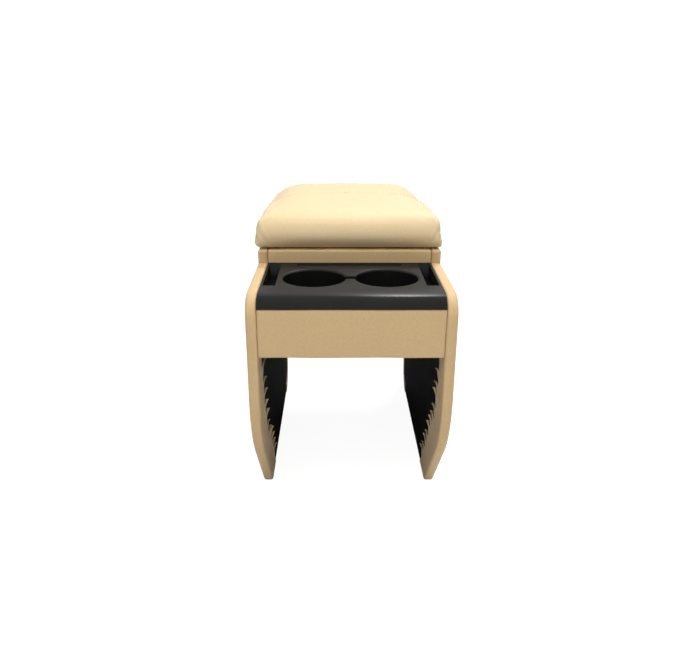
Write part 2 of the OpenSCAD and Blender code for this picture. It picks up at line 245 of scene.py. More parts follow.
TAN = (0.720, 0.515, 0.268)
TAN_DEEP = (0.640, 0.445, 0.226)
# The lid's cover is the same tan leather, made paler here: painted light for the strong lamp on its
# top.
LID_TAN_PAINTED_LIGHT = (0.810, 0.645, 0.385)
LID_TAN_DEEP_PAINTED_LIGHT = (0.755, 0.580, 0.335)
HEM = (0.760, 0.620, 0.420)
HEM_DEEP = (0.640, 0.490, 0.310)
leather = leather_finish("tan_leather", TAN, TAN_DEEP)
# The tongues of the hem get a paler, less yellow tan than the rest of the sheet.
cut_leather = leather_finish("cut_leather_edges", HEM, HEM_DEEP, 0.66)
# The lid's leather is the tan leather with painted light in its paler colour.
lid_leather_painted_light = leather_finish("cream_leather", LID_TAN_PAINTED_LIGHT, LID_TAN_DEEP_PAINTED_LIGHT, 0.46)

# %% [markdown]
# The inner faces of the side panels are bare black board. It is dull, with a faint fibre running
# along it and some paler scuffs, so it doesn't look like a hole in the picture.


# %% Board finishes
BOARD_DARK = (0.0070, 0.0070, 0.0073)
BOARD_WORN = (0.0190, 0.0190, 0.0196)
BOARD_GLINT = 0.003
PLY_DARK = (0.30, 0.185, 0.095)
PLY_PALE = (0.50, 0.345, 0.195)
PLY_PORES = (0.23, 0.14, 0.07)


def black_board_finish():
    board = Finish("black_board")
    fibre = board.clouds(260, 4.0, (1, 0.12, 1))
    scuff = (board.clouds(21, 6.0, (1, 0.5, 1.6)) - 0.56) * 5.0
    colour = board.mix((fibre * 0.6 + scuff.clamp() * 0.4).clamp(), BOARD_DARK, BOARD_WORN)
    board.paint(Base_Color=colour, Roughness=0.72 - 0.14 * fibre)
    board.paint(Normal=board.bump(fibre, 0.4, 0.15 * MM))
    board.shader.inputs["Specular IOR Level"].default_value = BOARD_GLINT
    return board.material


def plywood_finish():
    board = Finish("plain_plywood")
    figure = board.clouds(34, 5.0, (0.25, 1, 1.8))
    pores = board.clouds(420, 2.0, (0.08, 1, 1))
    colour = board.mix((figure * 1.3 - 0.2).clamp(), PLY_DARK, PLY_PALE)
    shaded = board.mix((pores * 0.5).clamp(), colour, PLY_PORES)
    board.paint(Base_Color=shaded, Roughness=0.62 + 0.12 * pores)
    board.paint(Normal=board.bump(pores, 0.5, 0.2 * MM))
    return board.material


black_board = black_board_finish()
plywood = plywood_finish()

# %% [markdown]
# The tray is injection-moulded. Its level top has the fine spark grain that such trays get, which
# spreads the light, and its nose is smoother, with a narrow highlight. Felt is a mass of short
# fibres, dark between them. The hinge is zinc-plated steel, drawn along its length, and the thread
# of the seam is paler than the leather.


# %% Plastic, felt, steel and thread finishes
PLASTIC_DARK = (0.0048, 0.0050, 0.0047)
PLASTIC_PALE = (0.0095, 0.0098, 0.0092)
SMOOTH_ROUGHNESS = 0.14
GRAIN_ROUGHNESS = 0.33
GRAIN_FADE = 2 * MM
PLASTIC_GLINT = 0.2
FELT_DARK = (0.007, 0.007, 0.008)
FELT_PALE = (0.040, 0.040, 0.044)
STEEL_DARK = (0.42, 0.43, 0.44)
STEEL_PALE = (0.66, 0.67, 0.68)
THREAD_DARK = (0.56, 0.44, 0.27)
THREAD_PALE = (0.80, 0.67, 0.45)


def plastic_finish():
    plastic = Finish("tray_plastic")
    spark = plastic.clouds(2600, 2.0)
    drift = plastic.clouds(24, 3.0)
    colour = plastic.mix(drift, PLASTIC_DARK, PLASTIC_PALE)
    height = plastic.wire("ShaderNodeSeparateXYZ", feeds={"Vector": plastic.place}, output="Z")
    grained = ((height - (deck_z - GRAIN_FADE)) / GRAIN_FADE).clamp()
    dullness = SMOOTH_ROUGHNESS + 0.06 * drift + 0.05 * spark + GRAIN_ROUGHNESS * grained
    plastic.paint(Base_Color=colour, Roughness=dullness)
    plastic.shader.inputs["Specular IOR Level"].default_value = PLASTIC_GLINT
    plastic.paint(Normal=plastic.bump(spark, 0.30, 0.05 * MM))
    return plastic.material


def felt_finish():
    felt = Finish("black_felt")
    fibres = felt.clouds(1500, 5.0)
    nap = felt.clouds(60, 3.0)
    colour = felt.mix((fibres * 0.7 + nap * 0.3).clamp(), FELT_DARK, FELT_PALE)
    felt.paint(Base_Color=colour, Roughness=0.9 + 0.08 * fibres)
    felt.paint(Normal=felt.bump(fibres, 0.8, 0.4 * MM))
    felt.shader.inputs["Sheen Weight"].default_value = 0.25
    return felt.material


def steel_finish():
    steel = Finish("plated_steel")
    drawn = steel.clouds(1800, 3.0, (0.03, 1, 1))
    spangle = steel.cells(240, "F1")
    colour = steel.mix((drawn * 0.7 + spangle * 0.3).clamp(), STEEL_DARK, STEEL_PALE)
    steel.paint(Base_Color=colour, Metallic=1.0, Roughness=0.30 + 0.16 * drawn)
    steel.paint(Normal=steel.bump(drawn, 0.25, 0.05 * MM))
    return steel.material


def thread_finish():
    thread = Finish("sewing_thread")
    twist = thread.clouds(5200, 1.0)
    colour = thread.mix(twist, THREAD_DARK, THREAD_PALE)
    thread.paint(Base_Color=colour, Roughness=0.62 + 0.2 * twist)
    thread.paint(Normal=thread.bump(twist, 0.5, 0.05 * MM))
    return thread.material


plastic = plastic_finish()
felt = felt_finish()
steel = steel_finish()
thread = thread_finish()

# %% [markdown]
# Each CAD solid that keeps its own mesh only needs its finish: boards, floor, lining and hinge.

# %% Finishes on the CAD solids
KEPT = {
    "side_panel_left": black_board,
    "side_panel_right": black_board,
    "box_floor": black_board,
    "front_panel": plywood,
    "cross_wall": plywood,
    "rear_panel": plywood,
    "lid_board": plywood,
    "bin_lining": felt,
    "lid_lining": felt,
    "box_nails": steel,
    "hinge_box_leaf": steel,
    "hinge_lid_leaf": steel,
    "hinge_pin": steel,
    "hinge_box_screws": steel,
    "hinge_lid_screws": steel,
}
for name, finish in KEPT.items():
    nodes[name].data.materials.clear()
    nodes[name].data.materials.append(finish)
print("finished in place:", len(KEPT))


# %% [markdown]
# A few helpers make meshes. `new_piece` turns a bmesh into an object at the origin, and
# `finish_modifiers` applies what a piece was given, so that its mesh is plain before it is
# handed to the frame.


# %% Mesh helpers
WELD = 0.01 * MM


def new_piece(name, mesh, material=None):
    data = bpy.data.meshes.new(name)
    mesh.to_mesh(data)
    mesh.free()
    piece = bpy.data.objects.new(name, data)
    bpy.context.collection.objects.link(piece)
    if material:
        data.materials.append(material)
    return piece


def finish_modifiers(piece):
    """Replaces the piece's mesh by what its modifiers make of it."""
    graph = bpy.context.evaluated_depsgraph_get()
    made = bpy.data.meshes.new_from_object(piece.evaluated_get(graph))
    made.name = piece.name
    piece.modifiers.clear()
    piece.data = made
    return piece


def smooth(piece, degrees=35):
    piece.data.shade_smooth()
    piece.data.set_sharp_from_angle(angle=math.radians(degrees))
    return piece


def solid_skin(piece, thickness):
    """Gives an open sheet its thickness, away from the side that its faces point to."""
    wall = piece.modifiers.new("thickness", "SOLIDIFY")
    wall.thickness = thickness
    wall.offset = -1
    wall.use_even_offset = True
    return finish_modifiers(piece)


def merged_copy(node):
    """A bmesh of a CAD node with its loose triangles joined."""
    mesh = bmesh.new()
    mesh.from_mesh(nodes[node].data)
    bmesh.ops.remove_doubles(mesh, verts=mesh.verts, dist=WELD)
    return mesh


# %% [markdown]
# The side panels' leather follows one outline: straight down at the front, then a sweep back to a
# small toe. It is written as arcs and straight runs, in metres behind the front edge and above the
# ground. Where the edge steps up to the box, the leather sinks into a small fold: `FOLD` gives each
# of its points in parts of the fold's reach and depth, with the way the leather faces there. The
# step's corner is pushed out a little, so that the board's corner stays inside its cover.

# %% Outline of a side panel
SKIN = 1.2 * MM
BROW_R = 24 * MM
SWEEP_Z = 162 * MM
SWEEP_R = 120 * MM
SWEEP_TURN = math.radians(41)
TOE_R = 14 * MM
HEEL_R = 40 * MM
CREST_R = 5 * MM
STEP_R = 4 * MM
STEP_PUSH = 1.0 * MM
FOLD_REACH = 2.6 * MM
FOLD_DEPTH = 1.9 * MM
FOLD = [
    ((-1, 0), (0, 1)),
    ((-0.3, -0.4), (-0.3, 0.95)),
    ((0.1, -1), (-0.7, 0.7)),
    ((0.2, 0), (-0.95, 0.3)),
]
HEM_W = 34 * MM
TOP_HEM = 14 * MM
HEM_PLAIN = 100 * MM
HEM_SPACING = 5 * MM
RUN_SPACING = 6 * MM
TOE_STEPS = 10
SWEEP_STEPS = 22
BROW_STEPS = 14
CORNER_STEPS = 6
HEEL_STEPS = 10

panel_length = panel_high[1] - panel_low[1]
top_z = panel_high[2]
wall_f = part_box("cross_wall_cover")[0][1] - front_y
half_width = panel_high[0]
box_x = panel_low[0]
SWEEP_OUT = Vector((-math.cos(SWEEP_TURN), -math.sin(SWEEP_TURN)))
SWEEP_C = Vector((SWEEP_R, SWEEP_Z))


def sweep_end(inset):
    return SWEEP_C + (SWEEP_R - inset) * SWEEP_OUT


def toe_at(inset, base):
    end = sweep_end(inset)
    return Vector((end.x + (end.y - base) * math.tan(SWEEP_TURN), base))


def arc(centre, radius, start, end, steps):
    """Points and outward directions round an arc, angles in degrees."""
    for k in range(steps + 1):
        angle = math.radians(start + (end - start) * k / steps)
        out = Vector((math.cos(angle), math.sin(angle)))
        yield Vector(centre) + radius * out, out


def run(start, end, out, spacing=RUN_SPACING):
    """Points inside a straight stretch, ends left to the arcs that it joins."""
    start, end = Vector(start), Vector(end)
    steps = max(2, round((end - start).length / spacing))
    for k in range(1, steps):
        yield start.lerp(end, k / steps), Vector(out)


def panel_outline():
    """The whole rim from under the toe, up the front, over the top and down the rear."""
    toe = toe_at(0, 0)
    toe_c = (toe.x + TOE_R / math.tan((math.pi / 2 + SWEEP_TURN) / 2), TOE_R)
    turn = 180 + math.degrees(SWEEP_TURN)
    hem_end = (toe_at(HEM_W, 0).x, 0)
    heel = (panel_length - HEEL_R, 0)
    points = [(Vector(hem_end), Vector((0, -1)))]
    points += run(hem_end, (toe_c[0], 0), (0, -1))
    points += arc(toe_c, TOE_R, 270, turn, TOE_STEPS)
    points += run(Vector(toe_c) + TOE_R * SWEEP_OUT, sweep_end(0), SWEEP_OUT)
    points += arc(SWEEP_C, SWEEP_R, turn, 180, SWEEP_STEPS)
    points += run((0, SWEEP_Z), (0, deck_z - BROW_R), (-1, 0))
    points += arc((BROW_R, deck_z - BROW_R), BROW_R, 180, 90, BROW_STEPS)
    points += run((BROW_R, deck_z), (wall_f - FOLD_REACH, deck_z), (0, 1))
    for (f, z), out in FOLD:
        points.append((Vector((wall_f + f * FOLD_REACH, deck_z + z * FOLD_DEPTH)), Vector(out)))
    points.append((Vector((wall_f, deck_z + FOLD_REACH)), Vector((-1, 0))))
    step = arc((wall_f + STEP_R, top_z - STEP_R), STEP_R, 180, 90, CORNER_STEPS)
    for k, (at, out) in enumerate(step):
        points.append((at + out * STEP_PUSH * math.sin(math.pi * k / CORNER_STEPS), out))
    points += run((wall_f + STEP_R, top_z), (panel_length - CREST_R, top_z), (0, 1))
    points += arc((panel_length - CREST_R, top_z - CREST_R), CREST_R, 90, 0, CORNER_STEPS)
    points += run((panel_length, top_z - CREST_R), (panel_length, HEEL_R), (1, 0))
    points += arc((panel_length - HEEL_R, HEEL_R), HEEL_R, 0, -90, HEEL_STEPS)
    wrapped = len(points)
    points += run(heel, hem_end, (0, -1))
    return points, wrapped


outline, wrapped = panel_outline()
print("points round a side panel:", len(outline))

# %% [markdown]
# The leather is a section carried round that outline: from the outer face over a soft edge, across
# the board and over the inner edge. Sweeping a section gives an even, rounded rim that no bevel on
# a thin sheet could. The edge is 3.5 mm soft on the outer side and 2.6 mm on the inner one. Under
# the armrest the leather stops flush with the board, so the section there ends inside the first
# round. On the inner face the leather ends in a hem, 34 mm wide along the front and 14 mm along the
# top and the rear. Where the tongues start, it stands off the board here and there.

# %% Leather of the side panels
OUTER_R = 3.5 * MM
INNER_R = 2.6 * MM
ROUND_STEPS = 6
LIFT = 0.7 * MM
LIFTS_PER_METRE = 60
SIDE_SKIN = 0.96 * SKIN
HEM_HEEL_STEPS = 8
HEM_SWEEP_STEPS = 16


def section(flush):
    """Pairs of (inset, x) from the outer face to the inner one."""
    full = math.pi / 2
    end = math.acos((OUTER_R - SKIN) / OUTER_R) if flush else full
    points = []
    for k in range(ROUND_STEPS + 1):
        angle = end * k / ROUND_STEPS
        points.append((OUTER_R * (1 - math.sin(angle)), half_width - OUTER_R * (1 - math.cos(angle))))
    if flush:
        return points
    for k in range(ROUND_STEPS + 1):
        angle = full * k / ROUND_STEPS
        points.append((INNER_R * (1 - math.cos(angle)), box_x + INNER_R * (1 - math.sin(angle))))
    return points


def hem_line():
    """The hem's inner edge, from the rear of the base round to the toe."""
    far = panel_length - TOP_HEM
    heel_c = (panel_length - HEEL_R, HEEL_R)
    corners = [(far, top_z - TOP_HEM), (wall_f + TOP_HEM, top_z - TOP_HEM)]
    corners += [(wall_f + TOP_HEM, deck_z - TOP_HEM), (HEM_W, deck_z - TOP_HEM)]
    line = [at for at, _ in arc(heel_c, HEEL_R - TOP_HEM, -90, 0, HEM_HEEL_STEPS)]
    line += [Vector(c) for c in corners]
    line += [at for at, _ in run((HEM_W, deck_z - TOP_HEM), (HEM_W, SWEEP_Z), (1, 0), HEM_SPACING)]
    turn = 180 + math.degrees(SWEEP_TURN)
    line += [at for at, _ in arc(SWEEP_C, SWEEP_R - HEM_W, 180, turn, HEM_SWEEP_STEPS)]
    line += [at for at, _ in run(sweep_end(HEM_W), toe_at(HEM_W, 0), (1, 0), HEM_SPACING)]
    return line


def side_leather(name, side):
    mesh = bmesh.new()
    rings = []
    for i, (at, out) in enumerate(outline):
        ring = []
        for inset, x in section(i >= wrapped):
            f, z = at - out * inset
            ring.append(mesh.verts.new((side * x, front_y + f, max(z, 0))))
        rings.append(ring)
    count = len(rings)
    for i in range(count):
        a, b = rings[i], rings[(i + 1) % count]
        for k in range(min(len(a), len(b)) - 1):
            mesh.faces.new((a[k], a[k + 1], b[k + 1], b[k]))
    mesh.faces.new([ring[0] for ring in rings])
    hem = [ring[-1] for ring in rings[:wrapped]]
    for at in hem_line():
        wave = noise.noise(Vector((at.x, at.y, side)) * LIFTS_PER_METRE)
        lift = LIFT * max(0, wave) if at.x < wall_f and at.y < SWEEP_Z else 0
        hem.append(mesh.verts.new((side * (box_x - lift), front_y + at.x, at.y)))
    mesh.faces.new(list(reversed(hem)))
    bmesh.ops.remove_doubles(mesh, verts=mesh.verts, dist=2 * WELD)
    bmesh.ops.recalc_face_normals(mesh, faces=mesh.faces)
    outer = max(mesh.faces, key=lambda face: face.calc_area())
    if outer.normal.x * side < 0:
        bmesh.ops.reverse_faces(mesh, faces=mesh.faces)
    return smooth(solid_skin(new_piece(name, mesh, leather), SIDE_SKIN))


for word, side in (("left", -1), ("right", 1)):
    cover = side_leather("leather_side_" + word, side)
    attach(cover, "box")
    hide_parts("side_cover_" + word)
    print(cover.name, "faces:", len(cover.data.polygons))

# %% [markdown]
# Some shapes repeat along a path: the tongues of the snipped hem, and later the stitches. That is
# what Geometry Nodes are for. The path is resampled at the shapes' spacing, and one shape lands on
# each point, turned along the path, with a seeded change of size and tilt.


# %% Geometry Nodes helper
class Geometry:
    """A Geometry Nodes tree with named inputs, ending in Realize Instances and Set Material."""

    def __init__(self, name, inputs):
        self.tree = bpy.data.node_groups.new(name, "GeometryNodeTree")
        self.tree.interface.new_socket("Geometry", in_out="INPUT", socket_type="NodeSocketGeometry")
        for label, kind in inputs.items():
            self.tree.interface.new_socket(label, in_out="INPUT", socket_type=kind)
        self.tree.interface.new_socket("Geometry", in_out="OUTPUT", socket_type="NodeSocketGeometry")
        self.given = self.tree.nodes.new("NodeGroupInput").outputs

    def node(self, kind, settings=None, feeds=None):
        made = self.tree.nodes.new(kind)
        for key, value in (settings or {}).items():
            setattr(made, key, value)
        for key, value in (feeds or {}).items():
            if isinstance(value, bpy.types.NodeSocket):
                self.tree.links.new(value, made.inputs[key])
            else:
                made.inputs[key].default_value = value
        return made

    def end(self, instances):
        real = self.node("GeometryNodeRealizeInstances", feeds={0: instances})
        feeds = {0: real.outputs[0], "Material": self.given["Material"]}
        painted = self.node("GeometryNodeSetMaterial", feeds=feeds)
        out = self.tree.nodes.new("NodeGroupOutput")
        self.tree.links.new(painted.outputs[0], out.inputs[0])

    def apply(self, piece, **values):
        """Runs the tree on a piece with these inputs, and keeps the result as its mesh."""
        modifier = piece.modifiers.new(self.tree.name, "NODES")
        modifier.node_group = self.tree
        for item in self.tree.interface.items_tree:
            label = item.name.replace(" ", "_")
            if item.in_out == "INPUT" and label in values:
                modifier[item.identifier] = values[label]
        return finish_modifiers(piece)


def row_tree(name):
    """Sets copies of a shape along a path, their Y axis along it."""
    kinds = {
        "Shape": "NodeSocketObject",
        "Spacing": "NodeSocketFloat",
        "Tilt": "NodeSocketFloat",
        "Size change": "NodeSocketFloat",
        "Seed": "NodeSocketInt",
        "Material": "NodeSocketMaterial",
    }
    geo = Geometry(name, kinds)

    def maths(operation, a, b):
        return geo.node("ShaderNodeMath", {"operation": operation}, {0: a, 1: b}).outputs[0]

    def random(low, high):
        feeds = {"Min": low, "Max": high, "Seed": geo.given["Seed"]}
        return geo.node("FunctionNodeRandomValue", {"data_type": "FLOAT"}, feeds).outputs[1]

    curve = geo.node("GeometryNodeMeshToCurve", feeds={0: geo.given["Geometry"]})
    feeds = {0: curve.outputs[0], "Length": geo.given["Spacing"]}
    even = geo.node("GeometryNodeResampleCurve", {"mode": "LENGTH"}, feeds)
    along = geo.node("GeometryNodeInputTangent").outputs[0]
    axes = {"axis": "Y", "pivot_axis": "X"}
    level = geo.node("FunctionNodeAlignRotationToVector", axes, {"Vector": along})
    change = geo.given["Size change"]
    size = random(maths("SUBTRACT", 1.0, change), maths("ADD", 1.0, change))
    tilt = random(maths("MULTIPLY", geo.given["Tilt"], -1.0), geo.given["Tilt"])
    turn = geo.node("FunctionNodeAxisAngleToRotation", feeds={"Axis": (1, 0, 0), "Angle": tilt})
    both = geo.node("FunctionNodeRotateRotation", {"rotation_space": "LOCAL"},
                    {0: level.outputs[0], 1: turn.outputs[0]})
    shape = geo.node("GeometryNodeObjectInfo", feeds={"Object": geo.given["Shape"]})
    placed = geo.node("GeometryNodeInstanceOnPoints", feeds={
        "Points": even.outputs[0],
        "Instance": shape.outputs["Geometry"],
        "Rotation": both.outputs[0],
        "Scale": size,
    })
    geo.end(placed.outputs[0])
    return geo


row = row_tree("row_along_path")


def path_piece(name, points):
    """A bare string of points, for Geometry Nodes to work on."""
    mesh = bmesh.new()
    verts = [mesh.verts.new(p) for p in points]
    for a, b in zip(verts, verts[1:]):
        mesh.edges.new((a, b))
    return new_piece(name, mesh)


# %% [markdown]
# The hem was snipped so that it could lie flat round the sweep. Its tongues stand off the board a
# little, curl at their tips and lean towards the toe. Their path runs from just under the box down
# to the toe and ends a little above the ground.

# %% Hem tongues
TONGUE_PITCH = 17 * MM
TONGUE_REACH = 13 * MM
TONGUE_LEAN = 8 * MM
TONGUE_ROOT = 3 * MM
TONGUE_CURL = 3.4 * MM
TONGUE_FILL = 0.96
TONGUE_TAPER = 0.75
TONGUE_TIP = 1.0 * MM
TONGUE_PUCKER = 0.5 * MM
TONGUE_STAND = 0.1 * MM
TONGUE_GRID = 7
TONGUE_SEED = {-1: 3, 1: 8}
RAGGED = {-1: 0.42, 1: 0.32}
PATH_END = 0.8
TONGUE_PATH_STEPS = 20


def tongue_shape(side):
    """One leather tongue: Y runs down the edge, Z into the panel and X away from the board."""
    mesh = bmesh.new()
    grid = []
    for j in range(TONGUE_GRID + 1):
        v = j / TONGUE_GRID
        width = TONGUE_PITCH * TONGUE_FILL * (1 - v) ** TONGUE_TAPER + TONGUE_TIP
        reach = -TONGUE_ROOT + (TONGUE_REACH + TONGUE_ROOT) * v
        line = []
        for i in range(TONGUE_GRID + 1):
            u = i / TONGUE_GRID
            y = (u - 0.5) * width - TONGUE_LEAN * v ** 1.3
            curl = TONGUE_CURL * v ** 2 * (0.55 + 0.45 * math.cos(math.pi * (u + 0.15)))
            pucker = TONGUE_PUCKER * math.sin(math.pi * u) * (1 - v)
            line.append(mesh.verts.new((-side * (curl + pucker), y, reach)))
        grid.append(line)
    for j in range(TONGUE_GRID):
        for i in range(TONGUE_GRID):
            a, b = grid[j][i], grid[j][i + 1]
            c, d = grid[j + 1][i + 1], grid[j + 1][i]
            mesh.faces.new((a, b, c, d) if side < 0 else (d, c, b, a))
    return solid_skin(new_piece("tongue_pattern", mesh), SKIN)


def hem_path(side):
    """Where the tongues spring from, from just under the box down to the toe."""
    stand = box_x + TONGUE_STAND
    start = max(deck_z - HEM_PLAIN, SWEEP_Z)
    spots = [Vector((HEM_W, start))]
    turn = 180 + math.degrees(SWEEP_TURN)
    spots += [at for at, _ in arc(SWEEP_C, SWEEP_R - HEM_W, 180, turn, TONGUE_PATH_STEPS)]
    end = toe_at(HEM_W, 0)
    spots.append(spots[-1].lerp(end, PATH_END))
    return [(side * stand, front_y + s.x, s.y) for s in spots]


for word, side in (("left", -1), ("right", 1)):
    pattern = tongue_shape(side)
    tongues = path_piece("hem_tongues_" + word, hem_path(side))
    row.apply(tongues, Shape=pattern, Spacing=TONGUE_PITCH, Tilt=RAGGED[side],
              Size_change=RAGGED[side], Seed=TONGUE_SEED[side], Material=cut_leather)
    bpy.data.objects.remove(pattern)
    smooth(tongues, 50)
    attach(tongues, "box")
    print(tongues.name, "faces:", len(tongues.data.polygons))

# %% [markdown]
# The boards between the side panels are wrapped too. A wrapped board is a box with soft edges, and
# a soft box has a simple rule: take each point of a gridded box, pull it to the nearest point of a
# smaller box inside, and push it back out by the radius. The sides that touch other pieces are
# left open, and the sheet gets its thickness inwards. The hems turned into the bin end in a
# straight line, just where the felt begins.

# %% Wrapped boards
WRAP_R = 2.2 * MM
WRAP_STEP = 6 * MM
ROUND_LINES = 4
WRAP_SKIN = 0.94 * SKIN
SHEET_WANDER = 0.45 * MM
SWELLS_PER_METRE = 28
HEM_OVER_FELT = 0.1 * MM
FACES_ASIDE = 0.7
FRONT_HEM = 50 * MM


def grid_lines(low, high, radius, step):
    """Places along one side: close together in the round corners, evenly between them."""
    rounds = [radius * k / ROUND_LINES for k in range(ROUND_LINES)]
    inner = max(1, round((high - low - 2 * radius) / step))
    middle = [low + radius + (high - low - 2 * radius) * k / inner for k in range(inner + 1)]
    return [low + r for r in rounds] + middle + [high - r for r in reversed(rounds)]


def soft_box(low, high, radius, step=WRAP_STEP):
    mesh = bmesh.new()
    lines = [grid_lines(low[k], high[k], radius, step) for k in range(3)]
    for axis in range(3):
        b, c = (axis + 1) % 3, (axis + 2) % 3
        for end in (low[axis], high[axis]):
            grid = []
            for v in lines[c]:
                strip = []
                for u in lines[b]:
                    spot = [0, 0, 0]
                    spot[axis], spot[b], spot[c] = end, u, v
                    strip.append(mesh.verts.new(spot))
                grid.append(strip)
            for j in range(len(grid) - 1):
                for i in range(len(grid[0]) - 1):
                    quad = [grid[j][i], grid[j][i + 1], grid[j + 1][i + 1], grid[j + 1][i]]
                    mesh.faces.new(quad if end == high[axis] else quad[::-1])
    bmesh.ops.remove_doubles(mesh, verts=mesh.verts, dist=WELD)
    core_low = [c + radius for c in low]
    core_high = [c - radius for c in high]
    for vert in mesh.verts:
        core = Vector([min(max(vert.co[k], core_low[k]), core_high[k]) for k in range(3)])
        away = vert.co - core
        if away.length > 0:
            vert.co = core + away.normalized() * radius
    return mesh


def keep_faces(mesh, rule):
    """Deletes the faces whose middle and direction the rule turns down."""
    gone = [f for f in mesh.faces if not rule(f.calc_center_median(), f.normal)]
    bmesh.ops.delete(mesh, geom=gone, context="FACES")


def ripple(mesh, height, per_metre, seed):
    """Lets a glued sheet wander a little along its own direction."""
    mesh.normal_update()
    shifts = []
    for vert in mesh.verts:
        swell = noise.noise(vert.co * per_metre + Vector((seed, seed, seed)))
        shifts.append(vert.normal * swell * height)
    for vert, shift in zip(mesh.verts, shifts):
        vert.co += shift


def trim_hem(mesh, y):
    """Ends the hem that is turned into the bin in a straight line, where the felt begins."""
    hem = [v for v in mesh.verts if abs(v.co.y - y) < WELD and v.co.z > top_z - 2 * TOP_HEM]
    lowest = min(v.co.z for v in hem)
    for vert in hem:
        if vert.co.z - lowest < WELD:
            vert.co.z = top_z - TOP_HEM + HEM_OVER_FELT


def wrapped_board(name, node, rule, seed, box=None, hem_y=None):
    low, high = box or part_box(node)
    mesh = soft_box(low, high, WRAP_R)
    keep_faces(mesh, rule)
    if hem_y is not None:
        trim_hem(mesh, hem_y)
    ripple(mesh, SHEET_WANDER, SWELLS_PER_METRE, seed)
    piece = smooth(solid_skin(new_piece(name, mesh, leather), WRAP_SKIN), 50)
    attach(piece, "box")
    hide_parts(node)
    return piece


board_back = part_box("front_panel")[1][1]
cross_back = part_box("cross_wall_cover")[1][1]
rear_low, rear_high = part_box("rear_cover")
rear_board_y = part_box("rear_panel")[0][1]


def front_sides(middle, out):
    behind = middle.y > board_back and (middle.z > deck_z - FRONT_HEM or out.z > 0.5)
    return abs(out.x) < FACES_ASIDE and out.y < FACES_ASIDE and not behind


def cross_sides(middle, out):
    low_behind = out.y > FACES_ASIDE and middle.z < top_z - TOP_HEM
    return abs(out.x) < FACES_ASIDE and out.z > -FACES_ASIDE and not low_behind


def rear_sides(middle, out):
    low_inside = out.y < -FACES_ASIDE and middle.z < top_z - TOP_HEM
    return abs(out.x) < FACES_ASIDE and not low_inside


wrapped_board("leather_front", "front_cover", front_sides, 1)
wrapped_board("leather_cross_wall", "cross_wall_cover", cross_sides, 5, hem_y=cross_back)
inner_rear = ((rear_low[0], rear_board_y - SKIN, rear_low[2]), rear_high)
wrapped_board("leather_rear", "rear_cover", rear_sides, 9, inner_rear, hem_y=rear_board_y - SKIN)

# %% [markdown]
# The tray is one moulding with sharp CAD edges, but a mould can't make a sharp edge. A merged copy
# of its solid gets a small bevel on every edge that turns by more than 30 degrees, and the
# bevels catch the light as thin lines.

# %% Cup tray
EDGE_SOFTNESS = 0.7 * MM
EDGE_TURN = math.radians(30)
FLAT_TURN = math.radians(0.5)

mesh = merged_copy("cup_tray")
bmesh.ops.dissolve_limit(mesh, angle_limit=FLAT_TURN, verts=mesh.verts, edges=mesh.edges)
tray = new_piece("moulded_cup_tray", mesh, plastic)
bevel = tray.modifiers.new("mould_edges", "BEVEL")
bevel.width = EDGE_SOFTNESS
bevel.segments = 2
bevel.limit_method = "ANGLE"
bevel.angle_limit = EDGE_TURN
bevel.use_clamp_overlap = True
smooth(finish_modifiers(tray), 28)
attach(tray, "box")
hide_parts("cup_tray")
print("tray faces:", len(tray.data.polygons))

# %% [markdown]
# The lid is foam on a board, under a stretched cover. Its padding starts from the CAD solids of the
# foam and the board, which lie just inside the cover, remeshed into an even net. Cloth simulation
# then blows the net up a little, as the foam pushes the cover out, and a cap keeps every point
# within a few millimetres of where it began. The underside stays flat on its board.

# %% Padded lid
NET = 4 * MM
BOARD_LAP = 2 * MM
PUFF_FROM = 8 * MM
PUFF_RISE = 26 * MM
PUFF_CAP = 2.2 * MM
PUFF_FRAMES = 20
PRESSURE = 4.0
HELD_HEIGHT = 5 * MM

lid_low, lid_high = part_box("lid_cover")


def ease(value):
    """Goes smoothly from 0 to 1 while the value does."""
    value = max(0, min(1, value))
    return value * value * (3 - 2 * value)


def pad_net():
    mesh = merged_copy("lid_board")
    top = max(v.co.z for v in mesh.verts)
    for vert in mesh.verts:
        if vert.co.z > top - BOARD_LAP:
            vert.co.z = top + BOARD_LAP
    mesh.from_mesh(nodes["lid_foam"].data)
    piece = new_piece("padded_lid", mesh)
    net = piece.modifiers.new("net", "REMESH")
    net.mode = "VOXEL"
    net.voxel_size = NET
    return finish_modifiers(piece)


def puff(piece):
    """Runs the cloth, then limits how far each point may go."""
    before = [v.co.copy() for v in piece.data.vertices]
    held = piece.vertex_groups.new(name="held")
    low = [v.index for v in piece.data.vertices if v.co.z < lid_low[2] + HELD_HEIGHT]
    held.add(low, 1.0, "REPLACE")
    cloth = piece.modifiers.new("cloth", "CLOTH")
    cloth.settings.use_pressure = True
    cloth.settings.uniform_pressure_force = PRESSURE
    cloth.settings.effector_weights.gravity = 0
    cloth.settings.vertex_group_mass = "held"
    cloth.settings.quality = 5
    scene = bpy.context.scene
    for number in range(1, PUFF_FRAMES + 1):
        scene.frame_set(number)
    finish_modifiers(piece)
    scene.frame_set(1)
    for vert, start in zip(piece.data.vertices, before):
        moved = vert.co - start
        cap = PUFF_CAP * ease((start.z - lid_low[2] - PUFF_FROM) / PUFF_RISE)
        if moved.length > cap:
            vert.co = start + moved.normalized() * cap
    return piece


lid = pad_net()
board = BVHTree.FromObject(nodes["lid_board"], bpy.context.evaluated_depsgraph_get())
puff(lid)
print("lid net points:", len(lid.data.vertices))

# %% [markdown]
# Remeshing can't hold a seam, so the sewn cross seam, the puckers beside it and the pleats at the
# front corners come after it. Each is a small push along the surface's own direction, worked out
# from where a point lies. The sides then settle to the worn shape of the picture, which differs a
# little from left to right. At last, every point that came too near the board is moved out again.

